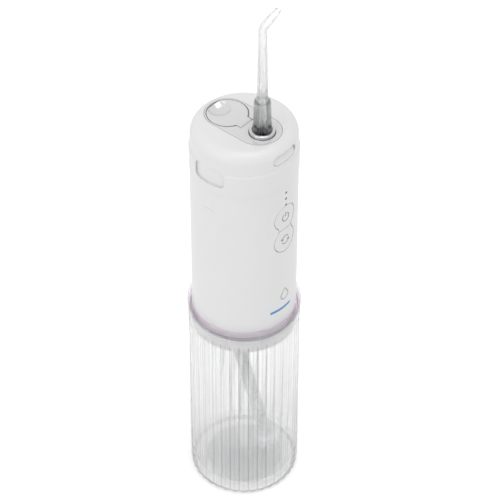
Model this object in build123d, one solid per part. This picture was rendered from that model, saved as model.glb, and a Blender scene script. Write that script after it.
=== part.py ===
from build123d import *
from math import cos, pi, radians, sin
import os

# Telescopic cordless water flosser, millimetres, +Z up.
# Origin: centre of the foot pad on the surface it stands on. Front is -Y, right side +X.

# ---- driving dimensions -------------------------------------------------------------------
BODY_R = 26.0            # outside of the white handle
BODY_WALL = 2.0
TOP_Z = 230.2            # flat top of the cap
CAP_Z = 206.0            # lower edge of the cap
HANDLE_Z = 104.0         # bottom of the extended handle, inside the tank
CAP_R = 25.7             # upper part of the cap
BAND_R = 26.3            # slightly proud band round the bottom of the cap
CAP_FILLET = 5.5

TANK_R = 28.3            # over the flutes
TANK_IN_R = 26.7
TANK_RIM_Z = 115.3
TANK_FLOOR_Z = 7.0
FLUTES = 36
COLLAR_R = 28.5
COLLAR_H = 3.0

NOZZLE_Y = -11.0         # nozzle axis is at x = 0
LID_Y = 10.5             # centre of the round storage lid
LID_R = 9.75
KEY_Z = (185.9, 171.6)   # power key, mode key
KEY_R = 7.0
LED_Z = (201.2, 197.5, 193.6)

BAY_R = 19.0             # well under the handle that swallows the folded hose
BAY_TOP_Z = 126.0
FLOOR_Z = 128.0          # inside floor of the dry compartment
HOSE_TOP = (-7.8, 9.1)
HOSE_FOOT = (7.1, -8.4)
HOSE_R = 3.6

RUN = 0.06               # running clearance, radial
GAP = 0.3                # clearance between parts that move apart
LID_GAP = 0.4            # wider joint line round the lid

INNER_R = BODY_R - BODY_WALL
os.makedirs("parts", exist_ok=True)


# ---- small helpers ------------------------------------------------------------------------
def save(name, shape):
    export_step(shape, f"parts/{name}.step")


def rod(r, z0, z1, x=0.0, y=0.0):
    """Upright cylinder from z0 to z1."""
    return Pos(x, y, (z0 + z1) / 2) * Cylinder(r, z1 - z0)


def ring(r_out, r_in, z0, z1, x=0.0, y=0.0):
    """Upright tube from z0 to z1."""
    return rod(r_out, z0, z1, x, y) - rod(r_in, z0 - 1, z1 + 1, x, y)


def rod_x(r, x0, x1, y, z):
    """Cylinder lying along X."""
    return Pos((x0 + x1) / 2, y, z) * Rot(0, 90, 0) * Cylinder(r, x1 - x0)


def rod_y(r, y0, y1, x, z):
    """Cylinder lying along Y."""
    return Pos(x, (y0 + y1) / 2, z) * Rot(90, 0, 0) * Cylinder(r, y1 - y0)


def block(x0, x1, y0, y1, z0, z1):
    """Box between opposite corners."""
    return Pos((x0 + x1) / 2, (y0 + y1) / 2, (z0 + z1) / 2) * Box(x1 - x0, y1 - y0, z1 - z0)


def turned(points, x=0.0, y=0.0):
    """Solid of revolution about an upright axis from (radius, z) points."""
    face = make_face(Plane.XZ * Polyline(*points, close=True))
    return Pos(x, y, 0) * revolve(face, Axis.Z)


def front_prism(outline, depth=40.0):
    """Outline drawn as (x, z), extruded towards the front."""
    return extrude(Plane.XZ * outline, amount=depth)


def pipe(points, bend, r_out, r_in):
    """Round tube along straight runs joined by tangent arcs."""
    path = FilletPolyline(*points, radius=bend)
    section = Plane(origin=path @ 0, z_dir=path % 0)
    outside = sweep(section * Circle(r_out), path=path)
    inside = sweep(section * Circle(r_in), path=path)
    return outside - inside


# ---- water tank: clear moulded cup with convex flutes ---------------------------------------
valley_r = TANK_R - 0.7
pitch = 2 * pi / FLUTES
scallops = []
for i in range(FLUTES):
    a, b = (i - 0.5) * pitch, (i + 0.5) * pitch
    m = (a + b) / 2
    scallops.append(ThreePointArc((valley_r * cos(a), valley_r * sin(a)),
                                  (TANK_R * cos(m), TANK_R * sin(m)),
                                  (valley_r * cos(b), valley_r * sin(b))))
ribbed = extrude(make_face(Curve() + scallops), amount=109)
base_edge = 2.3
envelope = turned([(0, 0.4), (TANK_R - base_edge, 0.4), (TANK_R - 0.7, 1.1), (TANK_R, 2.8),
                   (TANK_R, 106.2), (TANK_R - 0.2, 107.6), (TANK_R - 0.7, 108.6), (0, 108.6)])
band = rod(TANK_R - 0.1, 108.0, TANK_RIM_Z)
tank = (ribbed & envelope) + band
tank -= rod(TANK_IN_R, TANK_FLOOR_Z, 120)
tank -= rod(TANK_IN_R + 0.6, 109.6, 120)
tank -= rod(19.6, -1, 2.4)
save("water_tank", tank)

foot_pad = rod(19.5, 0, 2.4) - ring(15.5, 14.3, -1, 0.6) - ring(9.5, 8.3, -1, 0.6)
save("foot_pad", foot_pad)

# ---- lavender collar: drops into the tank mouth, guides the handle ---------------------------
collar_top = TANK_RIM_Z + COLLAR_H
collar_in = BODY_R + 0.35
collar = turned([(collar_in, 110.2), (TANK_IN_R + 0.3, 110.2), (TANK_IN_R + 0.3, TANK_RIM_Z),
                 (COLLAR_R - 0.2, TANK_RIM_Z), (COLLAR_R, TANK_RIM_Z + 0.3),
                 (COLLAR_R, collar_top - 0.6), (COLLAR_R - 0.6, collar_top),
                 (collar_in + 0.3, collar_top), (collar_in, collar_top - 0.3)])
groove_r = TANK_IN_R + 0.1
collar -= ring(30, groove_r, 111.4, 112.6)
save("collar_ring", collar)
save("collar_seal", ring(TANK_IN_R + 0.54, groove_r + 0.01, 111.45, 112.55))

# ---- handle shell: white tube with the key window, lamp holes and detent bumps --------------
waist_z = (KEY_Z[0] + KEY_Z[1]) / 2
WAIST_HALF = 4.3
pad = Pos(0, KEY_Z[0]) * Circle(KEY_R) + Pos(0, KEY_Z[1]) * Circle(KEY_R)
pad += Pos(0, waist_z) * Rectangle(2 * WAIST_HALF, 5.0)
waist_corners = [v for v in pad.vertices() if abs(abs(v.X) - WAIST_HALF) < 0.05]
pad = fillet(waist_corners, 1.5)

shell = ring(BODY_R, INNER_R, HANDLE_Z, CAP_Z)
for side in (-1, 1):
    for z, half in ((193.2, 3.0), (120.4, 3.5)):
        bump = ring(BODY_R + 0.15, BODY_R - 0.5, z - 0.6, z + 0.6)
        shell += bump & block(*sorted((side * 20, side * 30)), -half, half, z - 1, z + 1)
shell -= front_prism(offset(pad, amount=GAP))
for z in LED_Z:
    shell -= rod_y(0.75, -30, -20, 0, z)
save("handle_shell", shell)

KEY_OUT_R, KEY_IN_R = BODY_R - 0.08, BODY_R - 1.7
key_pad = front_prism(pad) & ring(KEY_OUT_R, KEY_IN_R, 160, 200)
save("power_key", key_pad & block(-10, 10, -30, 0, waist_z + 0.15, 200))
save("mode_key", key_pad & block(-10, 10, -30, 0, 160, waist_z - 0.15))
membrane = front_prism(offset(pad, amount=1.3)) & ring(INNER_R - 0.7, INNER_R - 1.5, 160, 200)
save("key_membrane", membrane - rod_y(0.9, -30, -20, 0, LED_Z[-1]))

# ---- base cover: closes the shell and forms the hose bay ------------------------------------
fit_r = INNER_R - 0.05
base_cover = turned([(BAY_R, HANDLE_Z), (fit_r, HANDLE_Z), (fit_r, 110), (22.4, 110), (22.4, 105.6),
                     (BAY_R + 1.4, 105.6), (BAY_R + 1.4, BAY_TOP_Z), (fit_r, BAY_TOP_Z),
                     (fit_r, FLOOR_Z), (0, FLOOR_Z), (0, BAY_TOP_Z), (BAY_R, BAY_TOP_Z)])
base_cover -= ring(25, 23.2, 107, 108.2)
base_cover -= rod(1.65, 120, 130, *HOSE_TOP)
SCREW_XY = [(-15, 12), (15, 12), (0, -13)]
for x, y in SCREW_XY:
    base_cover -= rod(1.02, 126.6, 130, x, y)
save("base_cover", base_cover)
save("base_seal", ring(INNER_R - 0.02, 23.22, 107.05, 108.15))

# ---- top cap: deck, side grips, release window, socket boss, port pocket ---------------------
arc_z = TOP_Z - CAP_FILLET
flat_r = CAP_R - CAP_FILLET
arc_mid = (flat_r + CAP_FILLET * cos(pi / 4), arc_z + CAP_FILLET * sin(pi / 4))
cap_outline = Polyline((flat_r, TOP_Z), (0, TOP_Z), (0, CAP_Z), (BAND_R, CAP_Z), (BAND_R, 217.2),
                       (CAP_R, 218.4), (CAP_R, arc_z))
cap_outline += ThreePointArc((CAP_R, arc_z), arc_mid, (flat_r, TOP_Z))
DECK_Z = TOP_Z - 4.0
CAVITY_R = 23.5
SOCKET_Z = 222.3         # bottom of the swivel bore
cap = revolve(make_face(Plane.XZ * cap_outline), Axis.Z) - rod(CAVITY_R, 200, DECK_Z)
cap += ring(fit_r, 22.6, 203, 208)
cap -= ring(25, 23.1, 203.8, 205.0)
cap += rod(7.6, SOCKET_Z, DECK_Z + 1, 0, NOZZLE_Y)
cap -= rod(6.2 + GAP, SOCKET_Z - 1, 232, 0, NOZZLE_Y)

PLATE_Z = TOP_Z - 1.4
PLATE_R, FRONT_Y = 10.85, -9.0


def stadium(r, z0, z1):
    """Round-ended slab along Y under the lid and the nozzle seat."""
    slab = rod(r, z0, z1, 0, LID_Y) + rod(r, z0, z1, 0, FRONT_Y)
    return slab + block(-r, r, FRONT_Y, LID_Y, z0, z1)


HINGE_Y, HINGE_Z, HINGE_R, PIN_R = -0.1, TOP_Z - 1.5, 1.5, 0.6
LEDGE_Z = TOP_Z - 2.0
cap -= stadium(PLATE_R + 0.2, PLATE_Z, 235)
cap -= rod(LID_R + LID_GAP, LEDGE_Z, 235, 0, LID_Y)
cap -= rod(8.2, 220, 235, 0, LID_Y)
cap -= block(-4.3, 4.3, HINGE_Y - 1.9, 3.0, HINGE_Z - 1.8, 235)
cap -= rod_x(PIN_R + 0.03, -6.2, 6.2, HINGE_Y, HINGE_Z)
cap -= block(-4.3, 4.3, 0, 4, LEDGE_Z - 0.4, 235)

GRIP_DEPTH = 0.9
for side in (-1, 1):
    grip = extrude(Plane.YZ * (Pos(0, 214.35) * RectangleRounded(17.4, 9.3, 2.6)), amount=side * 30)
    cap -= grip & ring(30, BAND_R - GRIP_DEPTH, 205, 222)

RELEASE_Z = 223.5
window = extrude(Plane.XZ * (Pos(0, RELEASE_Z) * SlotOverall(15.8, 5.7)), amount=30)
cap -= window & block(-10, 10, -30, -18.0, 215, 229)

PORT_Z = 209.6
cap -= block(-6.3, 6.3, 20, 30, CAP_Z + 0.2, 212.4) & ring(30, BAND_R - 1.25, 205, 213)
cap -= block(-4.55, 4.55, 20, 28, PORT_Z - 1.7, PORT_Z + 1.7)
save("top_cap", cap)
save("cap_seal", ring(INNER_R - 0.02, 23.12, 203.85, 204.95))

plate = stadium(PLATE_R, PLATE_Z, TOP_Z)
plate -= rod(LID_R + LID_GAP, 225, 235, 0, LID_Y) + rod(LID_R + LID_GAP, 225, 235, 0, LID_Y - 0.35)
plate -= rod(6.2 + GAP, 225, 235, 0, NOZZLE_Y)
plate -= block(-4.3, 4.3, HINGE_Y - 1.8, 4, 225, 235) + block(-5.2, 5.2, 1.0, 4, 225, 235)
plate -= rod_x(PIN_R + 0.1, -6.4, 6.4, HINGE_Y, HINGE_Z)
save("top_plate", plate)

# ---- storage lid, its hinge pin and the cup under it ----------------------------------------
lid = rod(LID_R, LEDGE_Z, TOP_Z, 0, LID_Y) + block(-3.9, 3.9, HINGE_Y, 3, LEDGE_Z, TOP_Z)
lid += rod_x(HINGE_R, -3.9, 3.9, HINGE_Y, HINGE_Z)
lid -= rod_x(PIN_R + RUN, -5, 5, HINGE_Y, HINGE_Z)
lid += rod(7.9, TOP_Z - 3.4, LEDGE_Z, 0, LID_Y)
SCOOP_Y, SCOOP_R, SCOOP_DEPTH = 5.0, 5.8, 2.5
ball_r = (SCOOP_R ** 2 + SCOOP_DEPTH ** 2) / (2 * SCOOP_DEPTH)
lid -= Pos(0, LID_Y + SCOOP_Y, TOP_Z - SCOOP_DEPTH + ball_r) * Sphere(ball_r)
save("storage_lid", lid)
save("lid_pin", rod_x(PIN_R, -6.1, 6.1, HINGE_Y, HINGE_Z))

cup = rod(8.9, 212.8, DECK_Z, 0, LID_Y) + rod(9.6, DECK_Z - 0.8, DECK_Z, 0, LID_Y)
save("storage_cup", cup - rod(8.1, 213.8, DECK_Z + 1, 0, LID_Y))

# ---- charging inlet and its rubber flap on the back of the cap ------------------------------
socket = block(-4.5, 4.5, 17.0, 24.6, PORT_Z - 1.65, PORT_Z + 1.65)
socket -= block(-4.15, 4.15, 19.0, 26.0, PORT_Z - 1.3, PORT_Z + 1.3)
socket += block(-3.3, 3.3, 18.5, 24.0, PORT_Z - 0.35, PORT_Z + 0.35)
save("charge_socket", socket)
FLAP_Y, FLAP_Z = 25.75, 207.0
flap = ring(BAND_R - 0.1, BAND_R - 1.0, FLAP_Z, 212.1) & block(-6, 6, 20, 30, 200, 220)
flap += rod_x(0.45, -4, 4, FLAP_Y, FLAP_Z)
save("port_cover", flap)

# ---- release button in the front window -----------------------------------------------------
button = extrude(Plane.XZ * (Pos(0, RELEASE_Z) * SlotOverall(15.4, 5.3)), amount=30)
thumb_face = turned([(0, 215), (CAP_R - 0.1, 215), (CAP_R - 0.1, 221.2), (CAP_R - 1.7, 226.5), (0, 226.5)])
button &= thumb_face & block(-10, 10, -30, -20.4, 215, 230)
button += block(-9.2, 9.2, -21.3, -20.1, 220.2, 225.9)
save("release_button", button)

# ---- nozzle socket, swivel ring and jet nozzle ----------------------------------------------
STEM_R, BORE_R = 3.3, 3.6
nozzle_socket = ring(5.5, BORE_R, 214, SOCKET_Z, 0, NOZZLE_Y)
nozzle_socket += rod(7.3, 221, SOCKET_Z, 0, NOZZLE_Y) + rod(5.5, 213, 214, 0, NOZZLE_Y)
nozzle_socket -= rod(BORE_R, 214, 230, 0, NOZZLE_Y) + rod(0.9, 210, 220, 0, NOZZLE_Y)
save("nozzle_socket", nozzle_socket)
save("socket_seal", ring(3.5, 1.7, 214, 215.2, 0, NOZZLE_Y))

SEAT_Z = 229.3
swivel = turned([(BORE_R, SOCKET_Z), (6.2, SOCKET_Z), (6.2, 231.4), (6.0, 231.85), (5.6, 232.0),
                 (5.1, 232.0), (4.85, 231.75), (4.85, SEAT_Z), (BORE_R, SEAT_Z)], 0, NOZZLE_Y)
save("swivel_ring", swivel)

SHOULDER_Z, BEND_Z = 249.0, 288.0
BEND_R, BEND_DEG, TIP_AZ, TIP_LEN = 7.0, 38.0, 52.0, 9.0
tip_dir = (sin(radians(TIP_AZ)), -cos(radians(TIP_AZ)))


def bend_point(deg):
    """Point on the centre line of the bent neck."""
    reach = BEND_R * (1 - cos(radians(deg)))
    return (reach * tip_dir[0], NOZZLE_Y + reach * tip_dir[1], BEND_Z + BEND_R * sin(radians(deg)))


neck_end = bend_point(BEND_DEG)
slope = radians(BEND_DEG)
out_dir = (sin(slope) * tip_dir[0], sin(slope) * tip_dir[1], cos(slope))
tip_end = tuple(p + TIP_LEN * d for p, d in zip(neck_end, out_dir))
NECK_R, TIP_R, JET_R = 2.2, 1.6, 0.8

nozzle = turned([(0, 215.6), (STEM_R, 215.6), (STEM_R, SEAT_Z), (4.4, SEAT_Z), (4.5, 231.2),
                 (3.95, SHOULDER_Z - 0.4), (3.6, SHOULDER_Z), (2.8, SHOULDER_Z + 0.7),
                 (2.7, SHOULDER_Z + 1.5), (NECK_R, BEND_Z), (0, BEND_Z)], 0, NOZZLE_Y)
neck_line = ThreePointArc(bend_point(0), bend_point(BEND_DEG / 2), neck_end)
nozzle += sweep(Plane(origin=bend_point(0), z_dir=(0, 0, 1)) * Circle(NECK_R), path=neck_line)
tip_mid = tuple((a + b) / 2 for a, b in zip(neck_end, tip_end))
nozzle += Plane(origin=tip_mid, z_dir=out_dir) * Cone(NECK_R, TIP_R, TIP_LEN)
jet_line = Line((0, NOZZLE_Y, 214), bend_point(0)) + neck_line + Line(neck_end, tip_end)
nozzle -= sweep(Plane(origin=(0, NOZZLE_Y, 214), z_dir=(0, 0, 1)) * Circle(JET_R), path=jet_line)
nozzle -= ring(4, 2.9, 217.4, 218.9, 0, NOZZLE_Y)
save("jet_nozzle", nozzle)
save("nozzle_seal", ring(3.54, 2.92, 217.5, 218.8, 0, NOZZLE_Y))

# ---- chassis: floor, front plate, pump shelf, motor plate and gear bracket -------------------
PUMP_XY = (4.9, -6.0)
SHAFT_R, AXLE_R = 1.0, 0.8
AXIS_Y, MOTOR_Z, GEAR_Z = -6.0, 152.0, 166.0
chassis = rod(23.4, FLOOR_Z, 129.6) + block(-9, 9, -19.6, -18.2, FLOOR_Z, 200)
chassis += block(-3, 12.6, -18.5, 1.6, 177.5, 179.0)
chassis -= rod(6.4, 176, 180, *PUMP_XY)
chassis += block(5.5, 6.8, -13.5, 1.5, 129, 160.4)
chassis -= rod_x(2.6, 5, 7, AXIS_Y, MOTOR_Z)
chassis += block(11.4, 14.5, -9, -3, 129, 169.5)
chassis -= rod_x(AXLE_R + 0.01, 11, 15, AXIS_Y, GEAR_Z)
BATTERY_XY = (0, 14.3)
chassis += block(-5, 5, 8, 20, 129, 142.7)
chassis -= rod(2.0, 120, 135, *HOSE_TOP)
screws = Part()
for x, y in SCREW_XY:
    chassis -= rod(1.2, 120, 135, x, y)
    screws += rod(1.0, 126.7, 129.7, x, y) + rod(2.0, 129.6, 131.0, x, y) - rod(0.8, 130.2, 132, x, y)
save("chassis", chassis)
save("chassis_screws", screws)

# ---- battery, circuit board, switches and light pipes ---------------------------------------
save("battery", rod(9.1, 143, 193, *BATTERY_XY) + rod(3.0, 193, 194, *BATTERY_XY))
tabs = block(-2.5, 2.5, 10, 18, 142.7, 143.0) + block(-2.5, 2.5, 10, 18, 194.0, 194.3)
save("battery_tabs", tabs)
board = block(-9, 9, -20.8, -19.6, 131, 202.5)
save("circuit_board", board)
for name, z in (("power_switch", KEY_Z[0]), ("mode_switch", KEY_Z[1])):
    save(name, block(-3, 3, -22.0, -20.8, z - 3, z + 3))
pipes = Part()
for z in LED_Z:
    pipes += rod_y(0.7, -BODY_R + 0.1, -20.8, 0, z)
save("light_pipes", pipes)


# ---- motor and reduction gears, axes along X --------------------------------------------------
def spur(teeth, module, x0, x1, z, bore, first_deg):
    """Spur gear with straight-flanked teeth; first_deg points its first tooth in the YZ plane."""
    pitch_r, step = teeth * module / 2, 2 * pi / teeth
    root_r, tip_r = pitch_r - 1.1 * module, pitch_r + 0.75 * module
    points = []
    for i in range(teeth):
        mid = radians(first_deg) + i * step
        for r, share in ((root_r, -0.30), (tip_r, -0.12), (tip_r, 0.12), (root_r, 0.30)):
            t = mid + share * step
            points.append((AXIS_Y + r * cos(t), z + r * sin(t)))
    face = make_face(Polyline(*points, close=True))
    return extrude(Plane.YZ.offset(x0) * face, amount=x1 - x0) - rod_x(bore, x0 - 1, x1 + 1, AXIS_Y, z)


MODULE, PINION_TEETH, GEAR_TEETH = 0.7, 10, 30
motor = rod_x(7.5, -14, 5.5, AXIS_Y, MOTOR_Z) + rod_x(6.6, -15.2, -14, AXIS_Y, MOTOR_Z)
save("motor", motor - rod_x(SHAFT_R + RUN, -13, 6, AXIS_Y, MOTOR_Z))
save("motor_shaft", rod_x(SHAFT_R, -12.8, 11.0, AXIS_Y, MOTOR_Z))
save("motor_pinion", spur(PINION_TEETH, MODULE, 7.2, 10.9, MOTOR_Z, SHAFT_R, 90))

THROW, CRANK_PIN_R, WRIST_PIN_R = 2.0, 0.9, 1.0
CRANK_Z = GEAR_Z + THROW
WRIST_Z = CRANK_Z + 18.5
gear = spur(GEAR_TEETH, MODULE, 7.2, 10.7, GEAR_Z, AXLE_R + RUN, -90 + 180 / GEAR_TEETH)
save("crank_gear", gear - rod_x(CRANK_PIN_R + 0.01, 7.0, 9.5, AXIS_Y, CRANK_Z))
save("crank_pin", rod_x(CRANK_PIN_R, 3.2, 9.4, AXIS_Y, CRANK_Z))
save("gear_axle", rod_x(AXLE_R, 7.3, 14.5, AXIS_Y, GEAR_Z))

# ---- connecting rod, piston, pump cylinder and valves ----------------------------------------
conrod = rod_x(2.4, 3.4, 6.4, AXIS_Y, CRANK_Z) + rod_x(2.0, 3.4, 6.4, AXIS_Y, WRIST_Z)
conrod += block(3.9, 5.9, AXIS_Y - 1.2, AXIS_Y + 1.2, CRANK_Z, WRIST_Z)
conrod -= rod_x(CRANK_PIN_R + RUN, 3, 7, AXIS_Y, CRANK_Z)
conrod -= rod_x(WRIST_PIN_R + 0.01, 3, 7, AXIS_Y, WRIST_Z)
save("connecting_rod", conrod)
save("wrist_pin", rod_x(WRIST_PIN_R, 2.3, 7.5, AXIS_Y, WRIST_Z))

PISTON_R = 6.0
piston = rod(PISTON_R, 181.5, 195.0, *PUMP_XY) - rod(4.9, 180, 192.9, *PUMP_XY)
save("piston", piston - ring(7, 5.3, 193.4, 194.4, *PUMP_XY))
save("piston_seal", ring(PISTON_R + 0.03, 5.32, 193.45, 194.35, *PUMP_XY))
save("pump_cylinder", ring(7.6, PISTON_R + 0.09, 179, 197, *PUMP_XY))

INLET_XY = (-6.8, AXIS_Y)
head = rod(7.6, 197, 200, *PUMP_XY) + rod(3.4, 197, 200, *INLET_XY)
head += block(INLET_XY[0], PUMP_XY[0], AXIS_Y - 3.4, AXIS_Y + 3.4, 197, 200)
save("pump_head", head - rod(0.9, 196, 201, *PUMP_XY) - rod(0.9, 196, 198.5, *INLET_XY))
save("inlet_valve", ring(3.0, 0.9, 190, 197, *INLET_XY))
save("outlet_valve", ring(2.6, 0.9, 200, 202, *PUMP_XY))

suction_route = [(*HOSE_TOP, 131), (*HOSE_TOP, 135), (-13, 4.5, 141), (-13, 4.5, 171),
                 (*INLET_XY, 183), (*INLET_XY, 190)]
save("suction_pipe", pipe(suction_route, 2.6, 1.6, 0.9))
outlet_route = [(*PUMP_XY, 202), (*PUMP_XY, 205.5), (0, NOZZLE_Y, 209), (0, NOZZLE_Y, 213)]
save("outlet_pipe", pipe(outlet_route, 2.3, 1.5, 0.9))

# ---- folding suction hose, its barb and the weighted pick-up ----------------------------------
HOSE_Z = (18.5, BAY_TOP_Z - 1)
barb = ring(1.6, 0.9, HOSE_Z[1], 131, *HOSE_TOP) + ring(3.2, 0.9, HOSE_Z[1], BAY_TOP_Z, *HOSE_TOP)
save("hose_barb", barb)
hose_ends = [Plane(origin=(*HOSE_FOOT, HOSE_Z[0])), Plane(origin=(*HOSE_TOP, HOSE_Z[1]))]
save("suction_hose", loft([end * Circle(HOSE_R) for end in hose_ends]))

weight = turned([(0, 9.2), (4.4, 9.2), (4.6, 9.8), (4.6, 15.4), (3.6, 16.6), (3.0, HOSE_Z[0]),
                 (0, HOSE_Z[0])], *HOSE_FOOT)
weight -= rod(3.2, 9, 12, *HOSE_FOOT)
for i in range(4):
    slot = Rot(0, 0, 45 * i) * Box(12, 1.0, 2.4)
    weight -= Pos(*HOSE_FOOT, 10.4) * slot
save("intake_weight", weight)
save("intake_filter", ring(3.15, 1.0, 10.6, 11.6, *HOSE_FOOT))
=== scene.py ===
from math import cos, hypot, pi, radians, sin

import bmesh
import bpy
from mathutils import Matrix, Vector


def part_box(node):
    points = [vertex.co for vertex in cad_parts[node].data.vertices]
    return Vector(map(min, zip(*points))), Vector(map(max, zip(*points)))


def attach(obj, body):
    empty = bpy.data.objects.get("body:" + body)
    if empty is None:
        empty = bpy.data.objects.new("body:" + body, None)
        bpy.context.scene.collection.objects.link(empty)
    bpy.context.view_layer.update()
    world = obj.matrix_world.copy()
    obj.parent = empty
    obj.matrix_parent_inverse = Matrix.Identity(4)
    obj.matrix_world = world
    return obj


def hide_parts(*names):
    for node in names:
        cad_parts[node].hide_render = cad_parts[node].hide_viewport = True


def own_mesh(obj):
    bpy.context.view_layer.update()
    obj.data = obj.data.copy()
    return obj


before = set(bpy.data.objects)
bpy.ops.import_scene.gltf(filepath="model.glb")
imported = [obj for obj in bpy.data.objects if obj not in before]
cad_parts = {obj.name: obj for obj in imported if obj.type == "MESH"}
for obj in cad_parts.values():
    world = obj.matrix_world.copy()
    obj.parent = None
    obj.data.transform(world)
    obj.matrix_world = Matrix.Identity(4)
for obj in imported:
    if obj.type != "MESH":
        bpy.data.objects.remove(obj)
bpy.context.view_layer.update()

MM = 0.001

# ---- floor, light and camera ------------------------------------------------------------------
# A pale table top that runs out of sight, a soft white room, one long window light on the left
# and one above. The camera looks down on the left front of the flosser.
scene = bpy.context.scene
scene.view_settings.view_transform = "Standard"
scene.view_settings.look = "None"

bpy.ops.mesh.primitive_plane_add(size=6.0, location=(0, 0, 0))
floor = bpy.context.object
floor.name = "floor"
paper = bpy.data.materials.new("white_paper")
paper.use_nodes = True
paper_shader = paper.node_tree.nodes["Principled BSDF"]
paper_shader.inputs["Base Color"].default_value = (0.96, 0.96, 0.96, 1)
paper_shader.inputs["Roughness"].default_value = 0.9
floor.data.materials.append(paper)

room = bpy.data.worlds.new("soft_room")
room.use_nodes = True
scene.world = room
room.node_tree.nodes["Background"].inputs["Color"].default_value = (1.0, 1.0, 1.0, 1)
room.node_tree.nodes["Background"].inputs["Strength"].default_value = 1.0


def window_light(name, place, aim, width, height, watts):
    """A soft rectangular lamp, turned to face a point."""
    data = bpy.data.lights.new(name, "AREA")
    data.shape = "RECTANGLE"
    data.size, data.size_y = width, height
    data.energy = watts
    lamp = bpy.data.objects.new(name, data)
    scene.collection.objects.link(lamp)
    lamp.location = place
    lamp.rotation_euler = (Vector(aim) - Vector(place)).to_track_quat("-Z", "Y").to_euler()


window_light("left_window", (-1.3, 0.1, 1.0), (0, 0, 0.15), 0.9, 1.3, 4)
window_light("top_window", (-0.1, -0.3, 1.7), (0, 0, 0.1), 1.0, 1.0, 7)

CAMERA_TURN = radians(-49.5)     # the front of the handle faces this far to the camera's right
CAMERA_OUT, CAMERA_UP = 0.816, 0.9017
camera_data = bpy.data.cameras.new("camera")
camera_data.lens = 162.8
camera_data.sensor_width = 36.0
camera_data.shift_x = 0.0116
camera = bpy.data.objects.new("camera", camera_data)
scene.collection.objects.link(camera)
camera.location = (CAMERA_OUT * sin(CAMERA_TURN), -CAMERA_OUT * cos(CAMERA_TURN), CAMERA_UP)
camera.rotation_euler = (radians(90 - 42.69), 0, CAMERA_TURN)
scene.camera = camera

# ---- foot pad ---------------------------------------------------------------------------------
# A light grey rubber disc pressed into the recess under the tank, 39 mm across, with two
# moulded grip grooves. It shows through the clear floor as a pale grey round.


def material(name, colour, rough, grain_mm=0.4, bump_mm=0.004, tint=0.02, metal=0.0, spec=0.5):
    """Moulded or machined finish: slight colour drift, uneven polish and a fine surface grain."""
    made = bpy.data.materials.new(name)
    made.use_nodes = True
    nodes, links = made.node_tree.nodes, made.node_tree.links
    shader = nodes["Principled BSDF"]
    shader.inputs["Metallic"].default_value = metal
    shader.inputs["Specular IOR Level"].default_value = spec
    where = nodes.new("ShaderNodeTexCoord")
    drift = nodes.new("ShaderNodeTexNoise")
    drift.inputs["Scale"].default_value = 60.0
    drift.inputs["Detail"].default_value = 3.0
    links.new(where.outputs["Object"], drift.inputs["Vector"])
    ramp = nodes.new("ShaderNodeValToRGB")
    ramp.color_ramp.elements[0].position = 0.3
    ramp.color_ramp.elements[1].position = 0.7
    ramp.color_ramp.elements[0].color = (*[c * (1 - tint) for c in colour], 1)
    ramp.color_ramp.elements[1].color = (*colour, 1)
    links.new(drift.outputs["Fac"], ramp.inputs["Fac"])
    links.new(ramp.outputs["Color"], shader.inputs["Base Color"])
    polish = nodes.new("ShaderNodeMapRange")
    polish.inputs["To Min"].default_value = max(0.02, rough - 0.06)
    polish.inputs["To Max"].default_value = rough + 0.06
    links.new(drift.outputs["Fac"], polish.inputs["Value"])
    links.new(polish.outputs["Result"], shader.inputs["Roughness"])
    grain = nodes.new("ShaderNodeTexNoise")
    grain.inputs["Scale"].default_value = 1.0 / (grain_mm * MM)
    grain.inputs["Detail"].default_value = 2.0
    links.new(where.outputs["Object"], grain.inputs["Vector"])
    relief = nodes.new("ShaderNodeBump")
    relief.inputs["Strength"].default_value = 0.5
    relief.inputs["Distance"].default_value = bump_mm * MM
    links.new(grain.outputs["Fac"], relief.inputs["Height"])
    links.new(relief.outputs["Normal"], shader.inputs["Normal"])
    return made


def piece(name, mesh, finish, smooth_deg=35.0):
    """A named object of one mesh and one finish, shaded smooth up to a crease angle."""
    made = bpy.data.objects.new(name, mesh)
    scene.collection.objects.link(made)
    mesh.materials.clear()
    mesh.materials.append(finish)
    mesh.polygons.foreach_set("use_smooth", [True] * len(mesh.polygons))
    mesh.set_sharp_from_angle(angle=radians(smooth_deg))
    return made


def rounded(corners, steps=5):
    """(radius, z, fillet) corners in mm to an outline whose corners are true arcs."""
    out = []
    count = len(corners)
    for i, (r, z, fillet) in enumerate(corners):
        here = Vector((r, z))
        before = Vector(corners[i - 1][:2]) - here
        after = Vector(corners[(i + 1) % count][:2]) - here
        if fillet <= 0:
            out.append(here)
            continue
        turn = before.angle(after)
        reach = fillet / max(0.05, abs(sin(turn / 2) / cos(turn / 2)))
        reach = min(reach, 0.49 * before.length, 0.49 * after.length)
        start = here + before.normalized() * reach
        end = here + after.normalized() * reach
        for k in range(steps + 1):
            t = k / steps
            out.append(start * (1 - t) ** 2 + here * 2 * t * (1 - t) + end * t ** 2)
    return out


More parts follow.
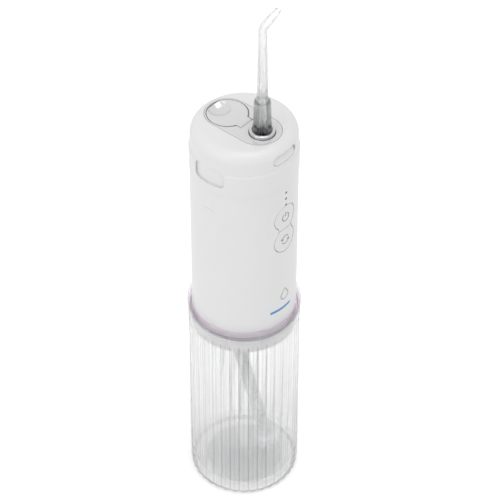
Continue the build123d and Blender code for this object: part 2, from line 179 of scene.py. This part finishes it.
def lathe(name, corners, segments=128, at=(0, 0), steps=5):
    """Closed mesh turned about an upright axis from a closed outline of (radius, z, fillet) mm."""
    outline = rounded(corners, steps)
    mesh = bpy.data.meshes.new(name)
    work = bmesh.new()
    rings = []
    for point in outline:
        if point.x < 1e-6:
            rings.append([work.verts.new((at[0] * MM, at[1] * MM, point.y * MM))])
            continue
        row = []
        for k in range(segments):
            a = 2 * pi * k / segments
            row.append(work.verts.new(((at[0] + point.x * cos(a)) * MM,
                                       (at[1] + point.x * sin(a)) * MM, point.y * MM)))
        rings.append(row)
    for one, two in zip(rings, rings[1:] + rings[:1]):
        if len(one) == 1 and len(two) == 1:
            continue
        for k in range(segments):
            after = (k + 1) % segments
            if len(one) == 1:
                work.faces.new((one[0], two[after], two[k]))
            elif len(two) == 1:
                work.faces.new((one[k], one[after], two[0]))
            else:
                work.faces.new((one[k], one[after], two[after], two[k]))
    bmesh.ops.recalc_face_normals(work, faces=work.faces)
    work.to_mesh(mesh)
    work.free()
    return mesh


PAD_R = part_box("foot_pad")[1].x / MM
PAD_TOP_Z, GROOVE_DEPTH = 2.34, 0.6
pad_rubber = material("foot_rubber", (0.70, 0.705, 0.71), 0.62, grain_mm=0.25, bump_mm=0.02)
pad_outline = [(0, PAD_TOP_Z, 0), (PAD_R, PAD_TOP_Z, 0.4), (PAD_R, 0, 0.4)]
for groove in (15.0, 9.0):
    pad_outline += [(groove + 0.7, 0, 0.15), (groove + 0.5, GROOVE_DEPTH, 0.1),
                    (groove - 0.5, GROOVE_DEPTH, 0.1), (groove - 0.7, 0, 0.15)]
pad_outline.append((0, 0, 0))
foot_pad = piece("foot_pad_rubber", lathe("foot_pad_rubber", pad_outline), pad_rubber)
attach(foot_pad, "tank_unit")
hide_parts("foot_pad")

# ---- water tank -------------------------------------------------------------------------------
# Clear copolyester cup, injection moulded. Thirty-six convex flutes with domed ends run down the
# outside, the inside is smooth, and the floor is a thick clear disc over the foot pad.
FLUTES = 36
WALL_R = 26.7
FLUTE_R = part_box("collar_ring")[1].x / MM - 0.2
VALLEY_R = FLUTE_R - 0.75
RIM_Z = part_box("water_tank")[1].z / MM
FLUTE_TOP_Z, FLUTE_FOOT_Z = 108.4, 2.6
BASE_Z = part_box("water_tank")[0].z / MM
BASE_ROUND = 2.3              # where the fluted wall turns under the foot
MOUTH_R, MOUTH_Z = WALL_R + 0.6, 109.9     # wider mouth for the collar, down to this height
FLOOR_Z, FLOOR_ROUND = 7.0, 2.0
RECESS_R, RECESS_Z = PAD_R + 0.12, 2.4


def clear_plastic(name, dye, density, rough, ior, straight):
    """Clear moulding, faintly uneven in polish. The dye absorbs by depth (density per metre), and
    straight is the share of the light that passes without bending, as in a thin wall."""
    made = bpy.data.materials.new(name)
    made.use_nodes = True
    nodes, links = made.node_tree.nodes, made.node_tree.links
    shader = nodes["Principled BSDF"]
    shader.inputs["Base Color"].default_value = (1, 1, 1, 1)
    shader.inputs["IOR"].default_value = ior
    shader.inputs["Transmission Weight"].default_value = 1.0
    where = nodes.new("ShaderNodeTexCoord")
    flow = nodes.new("ShaderNodeTexNoise")
    flow.inputs["Scale"].default_value = 90.0
    links.new(where.outputs["Object"], flow.inputs["Vector"])
    polish = nodes.new("ShaderNodeMapRange")
    polish.inputs["To Min"].default_value = rough * 0.5
    polish.inputs["To Max"].default_value = rough * 1.5
    links.new(flow.outputs["Fac"], polish.inputs["Value"])
    links.new(polish.outputs["Result"], shader.inputs["Roughness"])
    relief = nodes.new("ShaderNodeBump")
    relief.inputs["Strength"].default_value = 0.15
    relief.inputs["Distance"].default_value = 0.01 * MM
    links.new(flow.outputs["Fac"], relief.inputs["Height"])
    links.new(relief.outputs["Normal"], shader.inputs["Normal"])
    passing = nodes.new("ShaderNodeBsdfTransparent")
    depth = nodes.new("ShaderNodeVolumeAbsorption")
    depth.inputs["Color"].default_value = (*dye, 1)
    depth.inputs["Density"].default_value = density
    links.new(depth.outputs["Volume"], nodes["Material Output"].inputs["Volume"])
    blend = nodes.new("ShaderNodeMixShader")
    blend.inputs["Fac"].default_value = straight
    links.new(shader.outputs["BSDF"], blend.inputs[1])
    links.new(passing.outputs["BSDF"], blend.inputs[2])
    links.new(blend.outputs["Shader"], nodes["Material Output"].inputs["Surface"])
    return made


def flute_radius(turn, height):
    """Outside radius of the fluted wall; the flutes swell and fade over a dome at each end."""
    across = 2 * (turn * FLUTES / (2 * pi) % 1.0) - 1.0
    half_width = pi * VALLEY_R / FLUTES
    if height > FLUTE_TOP_Z - half_width:
        along = (height - FLUTE_TOP_Z + half_width) / half_width
    else:
        along = 0.0
    reach = hypot(across, along)
    swell = (1 - reach ** 2) if reach < 1 else 0.0
    return VALLEY_R + (FLUTE_R - VALLEY_R) * swell


def tank_mesh(name):
    """Fluted outside, smooth inside, thick floor and the recess for the foot pad. A row of
    points lies so far in from the flutes, or at a plain radius, or is the middle point."""
    across = FLUTES * 12
    rows = []
    for k in range(7):
        t = radians(15 * k)
        rows.append((("in", BASE_ROUND * (1 - sin(t))), BASE_Z + BASE_ROUND * (1 - cos(t))))
    heights = [FLUTE_FOOT_Z + 1.5 + k * (FLUTE_TOP_Z - 6.5 - FLUTE_FOOT_Z) / 20 for k in range(21)]
    heights += [FLUTE_TOP_Z - 4.6 + k * 0.35 for k in range(1, 15)]
    rows += [(("in", 0.0), z) for z in heights]
    smooth_r = FLUTE_R - 0.1
    rows += [(("at", smooth_r - 0.45), FLUTE_TOP_Z + 0.7), (("at", smooth_r - 0.08), FLUTE_TOP_Z + 1.1),
             (("at", smooth_r), FLUTE_TOP_Z + 1.5), (("at", smooth_r), RIM_Z - 0.5),
             (("at", smooth_r - 0.15), RIM_Z - 0.12), (("at", smooth_r - 0.4), RIM_Z),
             (("at", MOUTH_R + 0.2), RIM_Z), (("at", MOUTH_R), RIM_Z - 0.2),
             (("at", MOUTH_R), MOUTH_Z), (("at", WALL_R), MOUTH_Z - 0.6)]
    rows += [(("at", WALL_R), 109.0 - k * 12.5) for k in range(1, 8)]
    for k in range(7):
        t = radians(15 * k)
        rows.append((("at", WALL_R - FLOOR_ROUND * (1 - cos(t))), FLOOR_Z + FLOOR_ROUND * (1 - sin(t))))
    rows += [(("at", 12.0), FLOOR_Z), (("mid", 0.0), FLOOR_Z)]
    mesh = bpy.data.meshes.new(name)
    work = bmesh.new()
    rings = []
    for (kind, value), z in rows:
        if kind == "mid":
            rings.append([work.verts.new((0, 0, z * MM))])
            continue
        row = []
        for k in range(across):
            turn = 2 * pi * k / across
            r = value if kind == "at" else flute_radius(turn, z) - value
            a = turn - pi / FLUTES
            row.append(work.verts.new((r * cos(a) * MM, r * sin(a) * MM, z * MM)))
        rings.append(row)
    for r, z in ((RECESS_R + 0.4, BASE_Z), (RECESS_R, BASE_Z + 0.3), (RECESS_R, RECESS_Z)):
        row = [work.verts.new((r * cos(2 * pi * k / across) * MM, r * sin(2 * pi * k / across) * MM,
                               z * MM)) for k in range(across)]
        rings.insert(0, row)
    rings.insert(0, [work.verts.new((0, 0, RECESS_Z * MM))])
    for one, two in zip(rings, rings[1:]):
        for k in range(across):
            after = (k + 1) % across
            if len(one) == 1:
                work.faces.new((one[0], two[after], two[k]))
            elif len(two) == 1:
                work.faces.new((one[k], one[after], two[0]))
            else:
                work.faces.new((one[k], one[after], two[after], two[k]))
    bmesh.ops.recalc_face_normals(work, faces=work.faces)
    work.to_mesh(mesh)
    work.free()
    return mesh


tank_plastic = clear_plastic("tank_plastic", (0.1, 0.12, 0.12), 2.0, 0.02, 1.35, 0.74)
tank_nodes, tank_links = tank_plastic.node_tree.nodes, tank_plastic.node_tree.links
FOOT_EDGE_Z = 1.3


def maths(operation, *inputs):
    """A maths node of the tank's finish; each input is a socket or a number."""
    node = tank_nodes.new("ShaderNodeMath")
    node.operation = operation
    for slot, value in zip(node.inputs, inputs):
        if isinstance(value, (int, float)):
            slot.default_value = value
        else:
            tank_links.new(value, slot)
    return node.outputs[0]


# Painted shade: the light passing straight through is greyed in the valleys between flutes and
# round the foot edge, and a little along the crowns, in place of the dark refraction lines and the
# contact shade there. crown runs from 0 in a valley to 0.5 on a crown. The smooth rim and the inside
# pass it evenly.
spot = tank_nodes.new("ShaderNodeSeparateXYZ")
tank_links.new(tank_nodes["Texture Coordinate"].outputs["Object"], spot.inputs[0])
around = maths("MULTIPLY", maths("ARCTAN2", spot.outputs["Y"], spot.outputs["X"]), FLUTES / (2 * pi))
crown = maths("ABSOLUTE", maths("SUBTRACT", maths("FRACT", maths("ADD", around, 64)), 0.5))
above = maths("GREATER_THAN", spot.outputs["Z"], (FLUTE_TOP_Z - 0.8) * MM)
reach = maths("ADD", maths("POWER", spot.outputs["X"], 2), maths("POWER", spot.outputs["Y"], 2))
inside = maths("LESS_THAN", reach, ((WALL_R - 1.0) * MM) ** 2)
painted_shade_fac = maths("MAXIMUM", crown, maths("MAXIMUM", above, inside))
# painted contact shade: the outside of the foot edge is pushed to the darkest grey of the ramp
painted_foot_shade = maths("MULTIPLY", maths("LESS_THAN", spot.outputs["Z"], FOOT_EDGE_Z * MM),
                  maths("SUBTRACT", 1.0, inside))
painted_shade_fac = maths("SUBTRACT", painted_shade_fac, maths("MULTIPLY", painted_foot_shade, 0.97))
# painted shade ramp: grey in the valleys, a faint painted grey line on the crowns, near white between
painted_valley_shade_ramp = tank_nodes.new("ShaderNodeValToRGB")
painted_valley_shade_ramp.color_ramp.elements[0].color = (0.62, 0.625, 0.63, 1)
painted_valley_shade_ramp.color_ramp.elements[1].position = 0.09
painted_valley_shade_ramp.color_ramp.elements[1].color = (0.985, 0.985, 0.985, 1)
for position, grey in ((0.43, 0.985), (0.49, 0.86), (0.5, 0.86), (0.51, 0.985)):
    stop = painted_valley_shade_ramp.color_ramp.elements.new(position)
    stop.color = (grey, grey, grey, 1)
tank_links.new(painted_shade_fac, painted_valley_shade_ramp.inputs["Fac"])
tank_links.new(painted_valley_shade_ramp.outputs["Color"], tank_nodes["Transparent BSDF"].inputs["Color"])
tank = piece("tank_cup", tank_mesh("tank_cup"), tank_plastic, 30)
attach(tank, "tank_unit")
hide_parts("water_tank")

# ---- collar -----------------------------------------------------------------------------------
# Translucent lavender ring that drops into the tank mouth and guides the handle, with a soft
# seal ring in a groove of its skirt.
collar_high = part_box("collar_ring")[1]
COLLAR_TOP, COLLAR_R, COLLAR_IN = collar_high.z / MM, collar_high.x / MM, 26.35
SKIRT_R, SKIRT_FOOT_Z, SEAL_LOW_Z, SEAL_HIGH_Z = 27.0, 110.2, 111.4, 112.6
lavender = clear_plastic("lavender_plastic", (0.45, 0.16, 0.43), 75.0, 0.03, 1.3, 0.75)
collar_outline = [(COLLAR_IN, SKIRT_FOOT_Z, 0.2), (SKIRT_R, SKIRT_FOOT_Z, 0.2),
                  (SKIRT_R, SEAL_LOW_Z, 0), (SKIRT_R - 0.2, SEAL_LOW_Z, 0),
                  (SKIRT_R - 0.2, SEAL_HIGH_Z, 0), (SKIRT_R, SEAL_HIGH_Z, 0),
                  (SKIRT_R, RIM_Z, 0), (COLLAR_R, RIM_Z, 0.3),
                  (COLLAR_R, COLLAR_TOP, 0.8), (COLLAR_IN, COLLAR_TOP, 0.5)]
collar = piece("collar_band", lathe("collar_band", collar_outline, 192), lavender)
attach(collar, "collar")
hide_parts("collar_ring")

seal_rubber = material("seal_rubber", (0.55, 0.55, 0.57), 0.55, grain_mm=0.2, bump_mm=0.006)


def finish_node(names, finish):
    """Gives CAD nodes that keep their own shape a finish."""
    for name in names:
        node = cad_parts[name]
        node.data.materials.clear()
        node.data.materials.append(finish)


finish_node(["collar_seal", "base_seal", "cap_seal", "socket_seal", "nozzle_seal", "piston_seal",
             "key_membrane"], seal_rubber)

# ---- handle shell and base cover --------------------------------------------------------------
# White ABS tube with a satin texture, a window for the key pad, three lamp holes and two small
# detent bumps a side. The base cover closes it below and forms the well for the folded hose.
white_abs = material("white_abs", (0.595, 0.595, 0.60), 0.38, grain_mm=0.3, bump_mm=0.003, tint=0.01)
finish_node(["handle_shell", "base_cover"], white_abs)

# ---- top cap, panel, lid and cup --------------------------------------------------------------
# The cap is moulded in the same satin white; the panel let into it and the flip lid are a little
# glossier. A steel pin holds the lid, and a moulded cup hangs under it.
panel_abs = material("panel_abs", (0.57, 0.57, 0.575), 0.1, grain_mm=0.5, bump_mm=0.0008, tint=0.01,
                     metal=0.3)
finish_node(["top_cap"], white_abs)
finish_node(["top_plate", "storage_lid"], panel_abs)
steel = material("ground_steel", (0.62, 0.62, 0.63), 0.28, grain_mm=0.15, bump_mm=0.002, metal=1.0)
finish_node(["lid_pin", "gear_axle", "crank_pin", "wrist_pin", "motor_shaft", "chassis_screws",
             "intake_filter"], steel)
acetal = material("acetal", (0.72, 0.73, 0.74), 0.42, grain_mm=0.3, bump_mm=0.004)
finish_node(["storage_cup", "chassis", "nozzle_socket", "pump_cylinder", "pump_head", "inlet_valve",
             "outlet_valve", "hose_barb", "piston", "connecting_rod"], acetal)

# ---- keys, release button and lamps -----------------------------------------------------------
# Two soft-touch keys share a figure-eight outline on the front. The release button is a pill
# under the brow of the cap. Smoked light guides fill the three lamp holes.
key_skin = material("key_skin", (0.595, 0.595, 0.60), 0.5, grain_mm=0.2, bump_mm=0.004, tint=0.01)
finish_node(["power_key", "mode_key"], key_skin)
release_abs = material("release_abs", (0.59, 0.59, 0.595), 0.25, grain_mm=0.4, bump_mm=0.002)
finish_node(["release_button"], release_abs)
smoked = material("smoked_guide", (0.10, 0.10, 0.11), 0.2, grain_mm=0.3, bump_mm=0.002)
finish_node(["light_pipes"], smoked)

# ---- charging inlet and flap ------------------------------------------------------------------
# A small socket at the back of the cap under a white rubber flap that swings down.
flap_rubber = material("flap_rubber", (0.58, 0.58, 0.585), 0.55, grain_mm=0.2, bump_mm=0.006)
finish_node(["port_cover"], flap_rubber)
nylon = material("black_nylon", (0.03, 0.03, 0.035), 0.45, grain_mm=0.2, bump_mm=0.004)
finish_node(["charge_socket", "power_switch", "mode_switch"], nylon)

# ---- swivel ring ------------------------------------------------------------------------------
# Turned brass ring with bright chrome plate. It turns in the deck and carries the jet tip.
swivel_low, swivel_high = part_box("swivel_ring")
NOZZLE_Y = (swivel_low.y + swivel_high.y) / 2 / MM
SWIVEL_R, SWIVEL_FOOT, SWIVEL_TOP = swivel_high.x / MM, swivel_low.z / MM, swivel_high.z / MM
STEM_HOLE_R, SEAT_HOLE_R, SEAT_Z = 3.6, 4.85, 229.3
chrome = material("bright_chrome", (0.60, 0.60, 0.61), 0.06, grain_mm=0.8, bump_mm=0.0005, metal=1.0)
swivel_outline = [(STEM_HOLE_R, SWIVEL_FOOT, 0.1), (SWIVEL_R, SWIVEL_FOOT, 0.2),
                  (SWIVEL_R, SWIVEL_TOP, 0.7), (SEAT_HOLE_R, SWIVEL_TOP, 0.35),
                  (SEAT_HOLE_R, SEAT_Z, 0.1), (STEM_HOLE_R, SEAT_Z, 0.1)]
swivel = piece("swivel_chrome", lathe("swivel_chrome", swivel_outline, 160, (0, NOZZLE_Y), 6), chrome)
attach(swivel, "swivel")
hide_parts("swivel_ring")

# ---- jet tip ----------------------------------------------------------------------------------
# Clear polycarbonate tip, moulded hollow: a stem with a seal groove, a thick tapered foot, a slim
# shaft and a bent neck that narrows to the jet.
STEM_R, SEAL_GROOVE_R = 3.3, 2.92
BEND_Z, BEND_R, BEND_TURN, TIP_TURN, TIP_LENGTH = 288.0, 7.0, radians(38), radians(52), 9.0
THROAT_R, THROAT_TOP_Z, CHANNEL_R = 1.5, 246.0, 1.25
tip_side = Vector((sin(TIP_TURN), -cos(TIP_TURN), 0))
up = Vector((0, 0, 1))
foot = Vector((0, NOZZLE_Y, 0))


def neck_point(turn):
    """Centre line point and direction along the bend, turn from 0 to BEND_TURN."""
    centre = foot + up * (BEND_Z + BEND_R * sin(turn)) + tip_side * BEND_R * (1 - cos(turn))
    return centre, up * cos(turn) + tip_side * sin(turn)


stem_profile = [(215.6, 3.0), (215.9, 3.2), (216.4, STEM_R), (217.35, STEM_R),
                (217.42, SEAL_GROOVE_R), (218.88, SEAL_GROOVE_R), (218.95, STEM_R),
                (225, STEM_R), (SEAT_Z - 0.05, STEM_R),
                (SEAT_Z, 3.6), (SEAT_Z + 0.03, 4.2), (SEAT_Z + 0.2, 4.38), (231.2, 4.5),
                (233.0, 4.46), (240.0, 4.24), (247.8, 4.0), (248.3, 3.96), (248.7, 3.84),
                (248.95, 3.6), (249.1, 3.3), (249.3, 3.02), (249.7, 2.84), (250.5, 2.75),
                (258.0, 2.64), (268.0, 2.49), (278.0, 2.34), (284.0, 2.25)]
stations = [(foot + up * z, up, r) for z, r in stem_profile]
for k in range(13):
    centre, along = neck_point(BEND_TURN * k / 12)
    stations.append((centre, along, 2.2))
neck_end, neck_dir = neck_point(BEND_TURN)
for share, r in ((0.25, 2.08), (0.5, 1.93), (0.75, 1.77), (0.94, 1.64), (0.985, 1.58), (1.0, 1.46)):
    stations.append((neck_end + neck_dir * TIP_LENGTH * share, neck_dir, r))


def bore_radius(r, z):
    """The channel: a wide throat in the foot, then about half the shaft, then the fine jet."""
    if z < THROAT_TOP_Z:
        return THROAT_R
    return min(CHANNEL_R, r * 0.52)


def tube_mesh(name, sections, segments=48):
    """Closed hollow tube through (centre, direction, outer radius, inner radius) sections in mm."""
    mesh = bpy.data.meshes.new(name)
    work = bmesh.new()
    side_axis = tip_side.cross(up).normalized()

    def ring_at(centre, along, r):
        across = along.cross(side_axis).normalized()
        return [work.verts.new((centre + side_axis * r * cos(2 * pi * k / segments)
                                + across * r * sin(2 * pi * k / segments)) * MM)
                for k in range(segments)]

    rings = [ring_at(c, d, r_out) for c, d, r_out, _ in sections]
    rings += [ring_at(c, d, r_in) for c, d, _, r_in in reversed(sections)]
    for one, two in zip(rings, rings[1:] + rings[:1]):
        for k in range(segments):
            after = (k + 1) % segments
            work.faces.new((one[k], one[after], two[after], two[k]))
    bmesh.ops.recalc_face_normals(work, faces=work.faces)
    work.to_mesh(mesh)
    work.free()
    return mesh


nozzle_plastic = clear_plastic("nozzle_plastic", (0.05, 0.06, 0.07), 75.0, 0.02, 1.4, 0.4)
sections = [(c, d, r, bore_radius(r, c.z)) for c, d, r in stations]
nozzle = piece("jet_tip_clear", tube_mesh("jet_tip_clear", sections), nozzle_plastic, 40)
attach(nozzle, "jet_tip")
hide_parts("jet_nozzle")

# ---- suction hose and weighted pick-up --------------------------------------------------------
# Translucent silicone hose with a spiral fold, so that it shortens like an accordion when the
# handle goes down. A plastic weight with a filter keeps its end on the tank floor.
hose_low, hose_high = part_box("suction_hose")
barb_low, barb_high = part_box("hose_barb")
weight_low, weight_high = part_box("intake_weight")
hose_top = Vector(((barb_low.x + barb_high.x) / 2, (barb_low.y + barb_high.y) / 2, hose_high.z)) / MM
hose_foot = Vector(((weight_low.x + weight_high.x) / 2, (weight_low.y + weight_high.y) / 2,
                    hose_low.z)) / MM
HOSE_R, FOLD_DEPTH, FOLD_PITCH = 3.5, 1.1, 2.6


def hose_mesh(name):
    """Closed hose from the barb to the weight, with a helical fold along it."""
    mesh = bpy.data.meshes.new(name)
    work = bmesh.new()
    length = hose_top.z - hose_foot.z
    count, segments = int(length / 0.3), 28
    rings = []
    for i in range(count + 1):
        share = i / count
        centre = hose_top.lerp(hose_foot, share)
        row = []
        for k in range(segments):
            a = 2 * pi * k / segments
            fold = 0.5 + 0.5 * cos(2 * pi * share * length / FOLD_PITCH - a)
            r = HOSE_R - FOLD_DEPTH * fold ** 2
            row.append(work.verts.new((centre + Vector((r * cos(a), r * sin(a), 0))) * MM))
        rings.append(row)
    for one, two in zip(rings, rings[1:]):
        for k in range(segments):
            after = (k + 1) % segments
            work.faces.new((one[k], one[after], two[after], two[k]))
    work.faces.new(rings[0])
    work.faces.new(rings[-1])
    bmesh.ops.recalc_face_normals(work, faces=work.faces)
    work.to_mesh(mesh)
    work.free()
    return mesh


silicone = material("silicone_hose", (0.66, 0.67, 0.68), 0.3, grain_mm=0.4, bump_mm=0.003)
silicone.node_tree.nodes["Principled BSDF"].inputs["Transmission Weight"].default_value = 0.12
hose = piece("hose_spiral", hose_mesh("hose_spiral"), silicone, 60)
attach(hose, "handle")
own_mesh(hose)
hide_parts("suction_hose")
finish_node(["suction_pipe", "outlet_pipe"], silicone)
weight_plastic = material("weight_plastic", (0.70, 0.71, 0.72), 0.3, grain_mm=0.3, bump_mm=0.003)
finish_node(["intake_weight"], weight_plastic)

# ---- motor, gears, battery and board ----------------------------------------------------------
# The dry works inside the handle: a plated motor can, acetal gears, a shrink-wrapped cell with
# nickel tabs, and the green board behind the keys.
motor_can = material("motor_can", (0.56, 0.57, 0.58), 0.32, grain_mm=0.3, bump_mm=0.002, metal=1.0)
finish_node(["motor"], motor_can)
gear_acetal = material("gear_acetal", (0.80, 0.77, 0.66), 0.4, grain_mm=0.2, bump_mm=0.004)
finish_node(["crank_gear", "motor_pinion"], gear_acetal)
wrap = material("cell_wrap", (0.05, 0.16, 0.30), 0.3, grain_mm=0.6, bump_mm=0.004)
finish_node(["battery"], wrap)
nickel = material("nickel_strip", (0.60, 0.58, 0.52), 0.3, grain_mm=0.2, bump_mm=0.002, metal=1.0)
finish_node(["battery_tabs"], nickel)
board_resin = material("board_resin", (0.015, 0.09, 0.03), 0.35, grain_mm=0.5, bump_mm=0.01)
finish_node(["circuit_board"], board_resin)

# ---- printed marks ----------------------------------------------------------------------------
# Pad-printed signs: a power sign and a two-arrow mode sign on the keys, and low on the front a
# plain grey water drop over a short blue bar.
INK_LIFT, INK_SUNK = 0.035, 0.02


def print_mark(name, strokes, surface_r, body, finish):
    """Thin ink on the round front: each stroke is (points as (arc, z) mm, width mm)."""
    mesh = bpy.data.meshes.new(name)
    work = bmesh.new()
    for points, width in strokes:
        closed = points[0] == points[-1]
        corners = points[:-1] if closed else points
        count = len(corners)
        rows = []
        for i, here in enumerate(corners):
            before = Vector(corners[i - 1] if closed or i else here)
            after = Vector(corners[(i + 1) % count] if closed or i < count - 1 else here)
            along = (after - before).normalized()
            side = Vector((-along.y, along.x)) * width / 2
            row = []
            for sign, lift in ((1, INK_LIFT), (-1, INK_LIFT), (-1, -INK_SUNK), (1, -INK_SUNK)):
                arc, z = Vector(here) + side * sign
                a = arc / surface_r
                r = surface_r + lift
                row.append(work.verts.new((r * sin(a) * MM, -r * cos(a) * MM, z * MM)))
            rows.append(row)
        pairs = list(zip(rows, rows[1:] + rows[:1])) if closed else list(zip(rows, rows[1:]))
        for one, two in pairs:
            for k in range(4):
                work.faces.new((one[k], one[(k + 1) % 4], two[(k + 1) % 4], two[k]))
        if not closed:
            work.faces.new(rows[0])
            work.faces.new(rows[-1])
    bmesh.ops.recalc_face_normals(work, faces=work.faces)
    work.to_mesh(mesh)
    work.free()
    mark = piece(name, mesh, finish, 30)
    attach(mark, body)
    return mark


def arc_points(x, z, r, start_deg, end_deg, steps=24):
    """Points on a circle arc, angles from the +arc axis towards +z."""
    return [(x + r * cos(radians(start_deg + (end_deg - start_deg) * k / steps)),
             z + r * sin(radians(start_deg + (end_deg - start_deg) * k / steps)))
            for k in range(steps + 1)]


grey_ink = material("grey_ink", (0.20, 0.20, 0.21), 0.5, grain_mm=0.15, bump_mm=0.002)
pale_ink = material("pale_ink", (0.36, 0.36, 0.37), 0.5, grain_mm=0.15, bump_mm=0.002)
blue_ink = material("blue_ink", (0.02, 0.20, 0.42), 0.45, grain_mm=0.15, bump_mm=0.002)
KEY_R = 25.92
POWER_Z, MODE_Z = 185.9, 171.6
POWER_SIGN_R, POWER_STROKE, MODE_SIGN_R, MODE_STROKE = 2.3, 0.55, 2.4, 0.5
power_strokes = [(arc_points(0, POWER_Z, POWER_SIGN_R, 120, 420), POWER_STROKE),
                 ([(0, POWER_Z + 0.6), (0, POWER_Z + 2.0), (0, POWER_Z + 3.2)], POWER_STROKE)]
print_mark("power_sign", power_strokes, KEY_R, "power_button", grey_ink)
mode_strokes = []
for base in (30, 210):
    mode_strokes.append((arc_points(0, MODE_Z, MODE_SIGN_R, base, base + 130), MODE_STROKE))
    tip = arc_points(0, MODE_Z, MODE_SIGN_R, base + 150, base + 150, 1)[0]
    for inner in (1.5, 3.3):
        wing = arc_points(0, MODE_Z, inner, base + 122, base + 122, 1)[0]
        middle = ((wing[0] + tip[0]) / 2, (wing[1] + tip[1]) / 2)
        mode_strokes.append(([wing, middle, tip], MODE_STROKE))
print_mark("mode_sign", mode_strokes, KEY_R, "mode_button", grey_ink)

shell_low, shell_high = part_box("handle_shell")
SHELL_R = (shell_high.y - shell_low.y) / 2 / MM
DROP_Z, DROP_R = 135.0, 2.6
BAR_Z, BAR_START, BAR_STEP = 127.0, -9.0, 0.8
drop = arc_points(0, DROP_Z, DROP_R, -225, 45)
drop = [(0, DROP_Z + 4.6)] + drop[::-1] + [(0, DROP_Z + 4.6)]
print_mark("drop_mark", [(drop, 0.8)], SHELL_R, "handle", pale_ink)
bar = [(BAR_START + BAR_STEP * k, BAR_Z) for k in range(18)]
print_mark("bar_mark", [(bar, 1.5)], SHELL_R, "handle", blue_ink)
